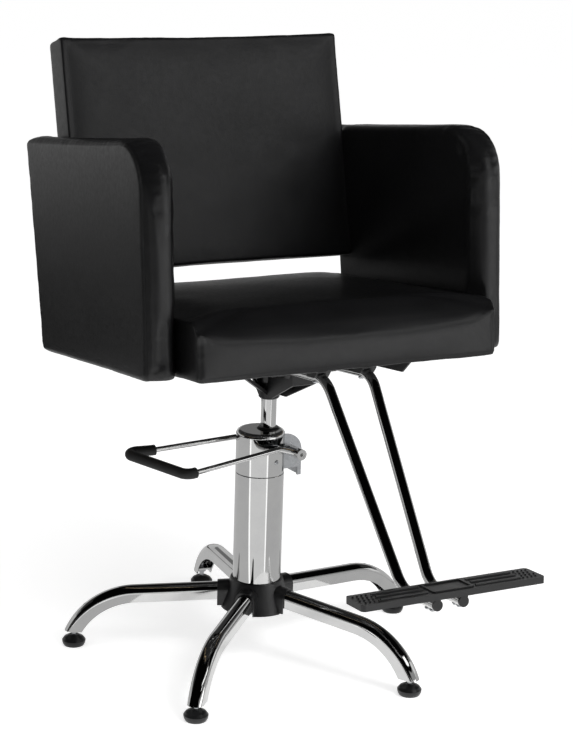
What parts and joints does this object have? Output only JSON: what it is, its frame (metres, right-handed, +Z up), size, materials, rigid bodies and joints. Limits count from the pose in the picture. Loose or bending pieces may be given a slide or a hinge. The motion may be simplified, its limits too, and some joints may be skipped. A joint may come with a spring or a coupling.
{
  "type": "hairdressing chair",
  "caption": "Hairdressing chair: square padded seat, slab arms and leaning backrest on a pedal-pumped column with bent channel legs and a hung ribbed footrest",
  "frame": {"origin": "on the floor, at the middle of the chair's footprint", "axes": "+Z up; the sitter faces -Y; +X is the sitter's left"},
  "size_m": [0.604, 0.9309, 0.9745],
  "materials": {
    "chrome": "polished",
    "zinc_steel": "satin",
    "cast_body": "machined",
    "black_plastic": "moulded, low gloss",
    "black_rubber": "matte",
    "black_paint": "powder coat",
    "bronze": "machined",
    "plywood": "sanded",
    "black_leather": "satin leatherette"
  },
  "bodies": {
    "base": {"leg_1": "chrome", "leg_2": "chrome", "leg_3": "chrome", "leg_4": "chrome", "leg_5": "chrome", "jam_nuts": "zinc_steel", "hub_ring": "black_paint", "hub_cover": "black_plastic", "clamp_bolt": "zinc_steel", "column_sleeve": "chrome", "pump_body": "cast_body", "head_cover": "chrome", "gland": "black_plastic", "cover_screw": "zinc_steel", "pump_bracket": "zinc_steel", "bracket_screws": "zinc_steel", "plunger_spring": "zinc_steel"},
    "pedal": {"pedal_shaft": "chrome", "pedal_rod": "chrome", "pedal_grip": "black_rubber", "pump_yoke": "zinc_steel"},
    "plunger_rod": {"plunger": "zinc_steel"},
    "ram_rod": {"ram": "chrome", "ram_seal": "black_rubber", "thrust_washer": "bronze"},
    "seat": {"socket": "black_paint", "seat_spider": "black_paint", "plate_bolts": "zinc_steel", "seat_board": "plywood", "seat_cushion": "black_leather", "arm_panel_right": "plywood", "arm_panel_left": "plywood", "arm_bolts": "zinc_steel", "arm_pad_right": "black_leather", "arm_pad_left": "black_leather", "back_board": "plywood", "backrest": "black_leather", "back_bolts": "zinc_steel", "tube_clamp": "black_paint", "clamp_screws": "zinc_steel", "seat_rail": "black_paint", "rail_screws": "zinc_steel", "footrest_tube_right": "chrome", "footrest_tube_left": "chrome", "tube_caps": "black_plastic", "footrest_plate": "black_plastic", "footrest_screws": "zinc_steel"},
    "glide_1": {"glide_pad_1": "black_plastic", "glide_stud_1": "zinc_steel"},
    "glide_2": {"glide_pad_2": "black_plastic", "glide_stud_2": "zinc_steel"},
    "glide_3": {"glide_pad_3": "black_plastic", "glide_stud_3": "zinc_steel"},
    "glide_4": {"glide_pad_4": "black_plastic", "glide_stud_4": "zinc_steel"},
    "glide_5": {"glide_pad_5": "black_plastic", "glide_stud_5": "zinc_steel"}
  },
  "joints": [
    {"name": "lift", "type": "slide", "parent": "base", "child": "ram_rod", "axis": [0, 0, 1], "range_m": [-0.044, 0.088]},
    {"name": "swivel", "type": "hinge", "parent": "ram_rod", "child": "seat", "pos_m": [0, 0.12327, 0.511], "axis": [0, 0, 1], "continuous": true},
    {"name": "pedal_press", "type": "hinge", "parent": "base", "child": "pedal", "pos_m": [0.02884, 0.1263, 0.3435], "axis": [0.1045, -0.9945, 0], "range_deg": [0, 23], "stiffness_Nm_per_rad": 4, "springref_deg": -28.65},
    {"name": "plunger_stroke", "type": "slide", "parent": "base", "child": "plunger_rod", "axis": [0, 0, -1], "range_m": [0, 0.0268], "deforming": ["plunger_spring"]},
    {"name": "glide_turn_1", "type": "hinge", "parent": "base", "child": "glide_1", "pos_m": [0.27968, 0.17834, 0.02], "axis": [0, 0, 1], "continuous": true},
    {"name": "glide_turn_2", "type": "hinge", "parent": "base", "child": "glide_2", "pos_m": [0.02303, 0.41851, 0.02], "axis": [0, 0, 1], "continuous": true},
    {"name": "glide_turn_3", "type": "hinge", "parent": "base", "child": "glide_3", "pos_m": [-0.28469, 0.24864, 0.02], "axis": [0, 0, 1], "continuous": true},
    {"name": "glide_turn_4", "type": "hinge", "parent": "base", "child": "glide_4", "pos_m": [-0.21822, -0.09652, 0.02], "axis": [0, 0, 1], "continuous": true},
    {"name": "glide_turn_5", "type": "hinge", "parent": "base", "child": "glide_5", "pos_m": [0.13058, -0.13996, 0.02], "axis": [0, 0, 1], "continuous": true}
  ],
  "couplings": [
    {"joint": "plunger_stroke", "follows": "pedal_press", "m_per_rad": 0.06555}
  ]
}
